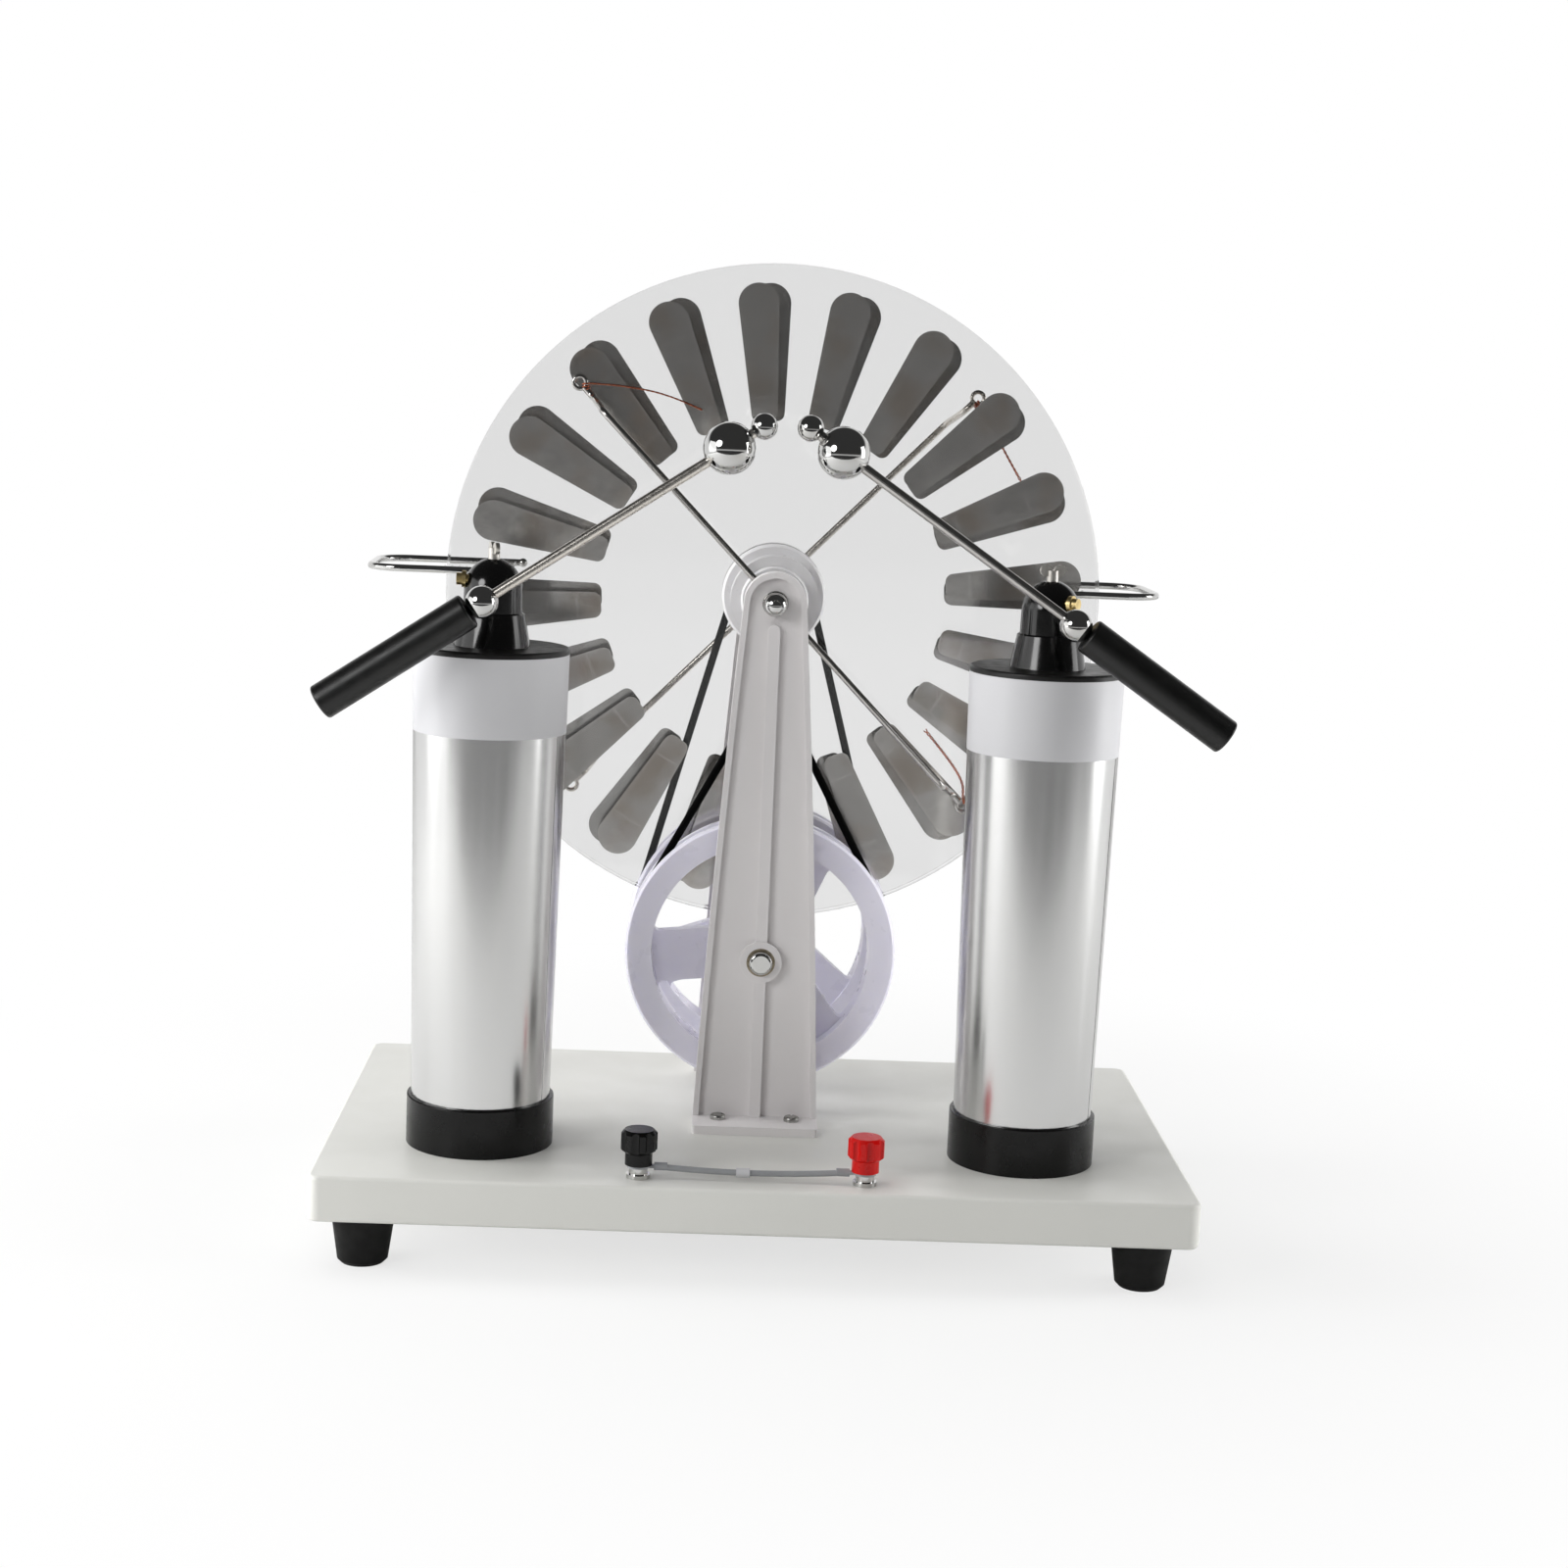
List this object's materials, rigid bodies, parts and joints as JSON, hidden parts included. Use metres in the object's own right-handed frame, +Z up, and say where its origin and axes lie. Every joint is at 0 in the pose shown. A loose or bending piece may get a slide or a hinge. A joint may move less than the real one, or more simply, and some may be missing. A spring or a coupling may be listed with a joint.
{
  "type": "wimshurst machine",
  "caption": "Bench influence machine with counter-turning clear discs, foil sectors, crank, belts, jars, neutralizing rods and a spark gap on a footed board.",
  "frame": {"origin": "on the table, under the middle of the whole machine's box, crank knob included", "axes": "+X to the right as seen from the spark balls' side, +Y away from that side towards the crank, +Z up"},
  "size_m": [0.3576, 0.2252, 0.3988],
  "materials": {
    "pale_board": "satin, fine grain",
    "black_rubber": "matt",
    "screw_steel": "plated",
    "grey_paint": "smooth satin paint",
    "bronze": "turned",
    "chrome_plate": "polished",
    "steel_rod": "ground",
    "black_plastic": "moulded, slight gloss",
    "white_plastic": "moulded, satin",
    "red_plastic": "moulded, slight gloss",
    "clear_acrylic": "polished, clear",
    "metal_foil": "thin foil, rubbed where the brushes run",
    "jar_foil": "bright foil with upright streaks",
    "lilac_plastic": "moulded, satin",
    "belt_rubber": "matt round belt",
    "copper_wire": "bare copper",
    "white_sleeve": "smooth film",
    "brass": "turned",
    "cable": "wire with crimped lugs"
  },
  "bodies": {
    "base": {"base_board": "pale_board", "rubber_feet": "black_rubber", "foot_screws": "screw_steel", "front_standard": "grey_paint", "rear_standard": "grey_paint", "standard_screws": "screw_steel", "shaft_bushes": "bronze", "upper_axle": "steel_rod", "ball_nuts": "chrome_plate", "axle_spacers": "steel_rod", "front_belt": "belt_rubber", "rear_belt": "belt_rubber", "jar_cups": "black_plastic", "jar_tubes": "clear_acrylic", "outer_foils": "jar_foil", "inner_foils": "jar_foil", "jar_sleeves": "white_sleeve", "jar_lids": "black_plastic", "jar_conductors": "steel_rod", "jar_bolts": "screw_steel", "head_left": "black_plastic", "head_right": "black_plastic", "clamp_screws": "chrome_plate", "brass_terminals": "brass", "collector_fork_left": "chrome_plate", "collector_fork_right": "chrome_plate", "collector_points": "steel_rod", "pivot_studs": "chrome_plate", "binding_studs": "chrome_plate", "contact_strips": "brass", "underside_nuts": "brass"},
    "drive": {"drive_shaft": "steel_rod", "shaft_bolts": "chrome_plate", "front_wheel": "lilac_plastic", "rear_wheel": "lilac_plastic", "crank_arm": "steel_rod", "crank_pin": "steel_rod"},
    "knob": {"crank_knob": "black_plastic"},
    "disc_front": {"front_disc": "clear_acrylic", "front_sectors": "metal_foil", "front_pulley": "white_plastic", "front_bush": "bronze"},
    "disc_rear": {"rear_disc": "clear_acrylic", "rear_sectors": "metal_foil", "rear_pulley": "white_plastic", "rear_bush": "bronze"},
    "neutral_front": {"front_neutralizer": "chrome_plate", "front_brushes": "copper_wire"},
    "neutral_rear": {"rear_neutralizer": "chrome_plate", "rear_brushes": "copper_wire"},
    "arm_left": {"arm_balls_left": "chrome_plate", "arm_rod_left": "chrome_plate", "arm_handle_left": "black_plastic"},
    "arm_right": {"arm_balls_right": "chrome_plate", "arm_rod_right": "chrome_plate", "arm_handle_right": "black_plastic"},
    "cap_black": {"black_cap": "black_plastic"},
    "cap_red": {"red_cap": "red_plastic"},
    "link": {"shorting_link": "cable", "link_sleeve": "white_sleeve"}
  },
  "joints": [
    {"name": "crank_spin", "type": "hinge", "parent": "base", "child": "drive", "pos_m": [0, 0.0254, 0.1092], "axis": [0, 1, 0], "continuous": true},
    {"name": "front_disc_spin", "type": "hinge", "parent": "base", "child": "disc_front", "pos_m": [0, 0.0254, 0.2596], "axis": [0, 1, 0], "continuous": true},
    {"name": "rear_disc_spin", "type": "hinge", "parent": "base", "child": "disc_rear", "pos_m": [0, 0.0254, 0.2596], "axis": [0, 1, 0], "continuous": true},
    {"name": "knob_spin", "type": "hinge", "parent": "drive", "child": "knob", "pos_m": [0, 0.0798, 0.0572], "axis": [0, 1, 0], "continuous": true},
    {"name": "front_neutralizer_swing", "type": "hinge", "parent": "base", "child": "neutral_front", "pos_m": [0, -0.0068, 0.2596], "axis": [0, 1, 0], "range_deg": [-20, 20]},
    {"name": "rear_neutralizer_swing", "type": "hinge", "parent": "base", "child": "neutral_rear", "pos_m": [0, 0.0576, 0.2596], "axis": [0, 1, 0], "range_deg": [-16, 20]},
    {"name": "left_arm_swing", "type": "hinge", "parent": "base", "child": "arm_left", "pos_m": [-0.1141, -0.0936, 0.2622], "axis": [0, -1, 0], "range_deg": [-2.4, 56]},
    {"name": "right_arm_swing", "type": "hinge", "parent": "base", "child": "arm_right", "pos_m": [0.1141, -0.0936, 0.2622], "axis": [0, 1, 0], "range_deg": [-2.4, 56]},
    {"name": "black_cap_lift", "type": "slide", "parent": "base", "child": "cap_black", "axis": [0, 0, 1], "range_m": [0, 0.003]},
    {"name": "red_cap_lift", "type": "slide", "parent": "base", "child": "cap_red", "axis": [0, 0, 1], "range_m": [0, 0.003]},
    {"name": "link_swing", "type": "hinge", "parent": "base", "child": "link", "pos_m": [-0.0467, -0.0993, 0.0432], "axis": [0, 0, 1], "range_deg": [-75, 0]}
  ],
  "couplings": [
    {"joint": "front_disc_spin", "follows": "crank_spin", "ratio": -3.478},
    {"joint": "rear_disc_spin", "follows": "crank_spin", "ratio": 3.478}
  ]
}
